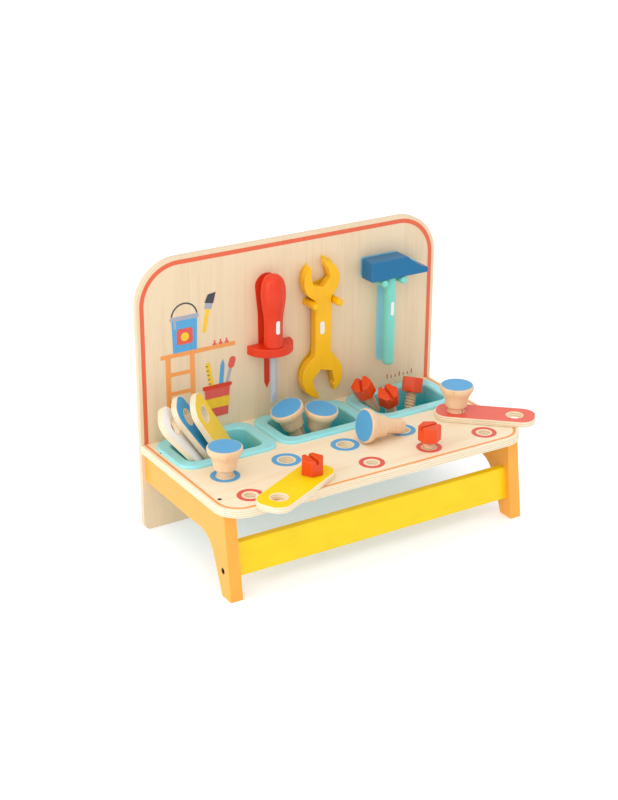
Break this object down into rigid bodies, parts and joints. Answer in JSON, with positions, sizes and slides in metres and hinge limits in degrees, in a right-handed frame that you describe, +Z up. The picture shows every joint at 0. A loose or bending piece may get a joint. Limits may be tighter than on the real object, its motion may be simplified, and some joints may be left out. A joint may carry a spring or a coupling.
{
  "type": "toy workbench",
  "caption": "Wooden tabletop toy workbench: pegboard back panel, worktop with peg and screw holes, lift-out trays, hung toy tools, loose nails, screws and slats.",
  "frame": {"origin": "middle of the back panel's bottom edge, on the floor", "axes": "+X to the right as the child sees it, along the bench; +Y out of the back; +Z up"},
  "size_m": [0.3944, 0.2099, 0.2915],
  "materials": {
    "panel_ply": "clear-varnished plywood, satin",
    "worktop_ply": "clear-varnished plywood, satin",
    "orange_paint": "orange satin paint on wood",
    "yellow_paint": "yellow satin paint on wood",
    "tray_plastic": "turquoise, glossy, moulded",
    "red_paint": "red satin paint on wood",
    "mint_paint": "mint satin paint on wood",
    "natural_wood": "turned beech, clear satin, blue-painted top",
    "thread_wood": "turned beech, unpainted",
    "blue_paint": "deep blue satin paint on wood",
    "driver_shaft": "grey satin paint on wood",
    "wrench_paint": "golden yellow satin paint on wood",
    "slat_yellow": "yellow paint on plywood, bare edges",
    "slat_red": "coral red paint on plywood, bare edges",
    "slat_amber": "amber paint on plywood, bare edges",
    "slat_blue": "blue paint on plywood, bare edges",
    "slat_white": "white paint on plywood, bare edges",
    "steel": "zinc-plated steel",
    "dark_steel": "dark steel pins",
    "dowel_wood": "beech dowel"
  },
  "bodies": {
    "bench": {"back_panel": "panel_ply", "worktop": "worktop_ply", "left_side_frame": "orange_paint", "right_side_frame": "orange_paint", "front_rail": "yellow_paint", "screwdriver_holder": "red_paint", "hammer_peg_left": "mint_paint", "hammer_peg_right": "mint_paint", "wrench_peg_left": "wrench_paint", "wrench_peg_right": "wrench_paint", "panel_screws": "steel", "holder_screws": "steel", "worktop_screws": "dark_steel", "rail_bolts": "dark_steel", "rail_barrel_nuts": "steel", "rail_dowels": "dowel_wood"},
    "left_tray": {"left_tray": "tray_plastic"},
    "middle_tray": {"middle_tray": "tray_plastic"},
    "right_tray": {"right_tray": "tray_plastic"},
    "amber_slat": {"amber_slat": "slat_amber"},
    "blue_slat": {"blue_slat": "slat_blue"},
    "white_slat": {"white_slat": "slat_white"},
    "tray_nail_left": {"tray_nail_left": "natural_wood"},
    "tray_nail_right": {"tray_nail_right": "natural_wood"},
    "tray_screw_left": {"tray_screw_left_head": "red_paint", "tray_screw_left_shank": "thread_wood"},
    "tray_screw_front": {"tray_screw_front_head": "red_paint", "tray_screw_front_shank": "thread_wood"},
    "tray_screw_right": {"tray_screw_right_head": "red_paint", "tray_screw_right_shank": "thread_wood"},
    "nail_front_left": {"nail_front_left": "natural_wood"},
    "nail_back_right": {"nail_back_right": "natural_wood"},
    "nail_on_worktop": {"nail_on_worktop": "natural_wood"},
    "worktop_screw": {"worktop_screw_head": "red_paint", "worktop_screw_shank": "thread_wood"},
    "slat_screw": {"slat_screw_head": "red_paint", "slat_screw_shank": "thread_wood"},
    "yellow_slat": {"yellow_slat": "slat_yellow"},
    "red_slat": {"red_slat": "slat_red"},
    "screwdriver": {"screwdriver_handle": "red_paint", "screwdriver_shaft": "driver_shaft"},
    "wrench": {"wrench": "wrench_paint"},
    "hammer": {"hammer_head": "blue_paint", "hammer_handle": "mint_paint"}
  },
  "joints": [
    {"name": "left_tray_lift", "type": "slide", "parent": "bench", "child": "left_tray", "axis": [0, 0, 1], "range_m": [0, 0.06]},
    {"name": "middle_tray_lift", "type": "slide", "parent": "bench", "child": "middle_tray", "axis": [0, 0, 1], "range_m": [0, 0.008]},
    {"name": "right_tray_lift", "type": "slide", "parent": "bench", "child": "right_tray", "axis": [0, 0, 1], "range_m": [0, 0.028]},
    {"name": "amber_slat_out", "type": "slide", "parent": "left_tray", "child": "amber_slat", "axis": [-0.5092, -0.0599, 0.8586], "range_m": [0, 0.06]},
    {"name": "blue_slat_out", "type": "slide", "parent": "left_tray", "child": "blue_slat", "axis": [-0.5517, 0.0502, 0.8325], "range_m": [0, 0.06]},
    {"name": "white_slat_out", "type": "slide", "parent": "left_tray", "child": "white_slat", "axis": [-0.6308, 0, 0.776], "range_m": [0, 0.06]},
    {"name": "tray_nail_left_out", "type": "slide", "parent": "middle_tray", "child": "tray_nail_left", "axis": [-0.2493, -0.0499, 0.9672], "range_m": [0, 0.04]},
    {"name": "tray_nail_right_out", "type": "slide", "parent": "middle_tray", "child": "tray_nail_right", "axis": [0, -0.3998, 0.9166], "range_m": [0, 0.045]},
    {"name": "tray_screw_left_out", "type": "slide", "parent": "right_tray", "child": "tray_screw_left", "axis": [-0.1508, 0.0804, 0.9853], "range_m": [0, 0.045]},
    {"name": "tray_screw_front_out", "type": "slide", "parent": "right_tray", "child": "tray_screw_front", "axis": [-0.3611, -0.3009, 0.8827], "range_m": [0, 0.045]},
    {"name": "tray_screw_right_out", "type": "slide", "parent": "right_tray", "child": "tray_screw_right", "axis": [0.3105, 0.2704, 0.9113], "range_m": [0, 0.045]},
    {"name": "front_left_nail_push", "type": "slide", "parent": "bench", "child": "nail_front_left", "axis": [0, 0, 1], "range_m": [-0.006, 0.035]},
    {"name": "back_right_nail_push", "type": "slide", "parent": "bench", "child": "nail_back_right", "axis": [0, 0, 1], "range_m": [-0.004, 0.035]},
    {"name": "loose_nail_lift", "type": "slide", "parent": "bench", "child": "nail_on_worktop", "axis": [0, 0, 1], "range_m": [0, 0.05]},
    {"name": "worktop_screw_turn", "type": "hinge", "parent": "bench", "child": "worktop_screw", "pos_m": [0.07, -0.1565, 0.113], "axis": [0, 0, 1], "range_deg": [-180, 180]},
    {"name": "slat_screw_turn", "type": "hinge", "parent": "bench", "child": "slat_screw", "pos_m": [-0.07, -0.1565, 0.113], "axis": [0, 0, 1], "range_deg": [0, 180]},
    {"name": "yellow_slat_swivel", "type": "hinge", "parent": "bench", "child": "yellow_slat", "pos_m": [-0.07, -0.1565, 0.0995], "axis": [0, 0, 1], "range_deg": [-20, 60]},
    {"name": "red_slat_swivel", "type": "hinge", "parent": "bench", "child": "red_slat", "pos_m": [0.14, -0.107, 0.0995], "axis": [0, 0, 1], "range_deg": [-35, 60]},
    {"name": "screwdriver_lift", "type": "slide", "parent": "bench", "child": "screwdriver", "axis": [0, 0, 1], "range_m": [0, 0.07]},
    {"name": "wrench_off_pegs", "type": "slide", "parent": "bench", "child": "wrench", "axis": [0, -0.8, 0.6], "range_m": [0, 0.04]},
    {"name": "hammer_off_pegs", "type": "slide", "parent": "bench", "child": "hammer", "axis": [0, -1, 0], "range_m": [0, 0.04]}
  ]
}
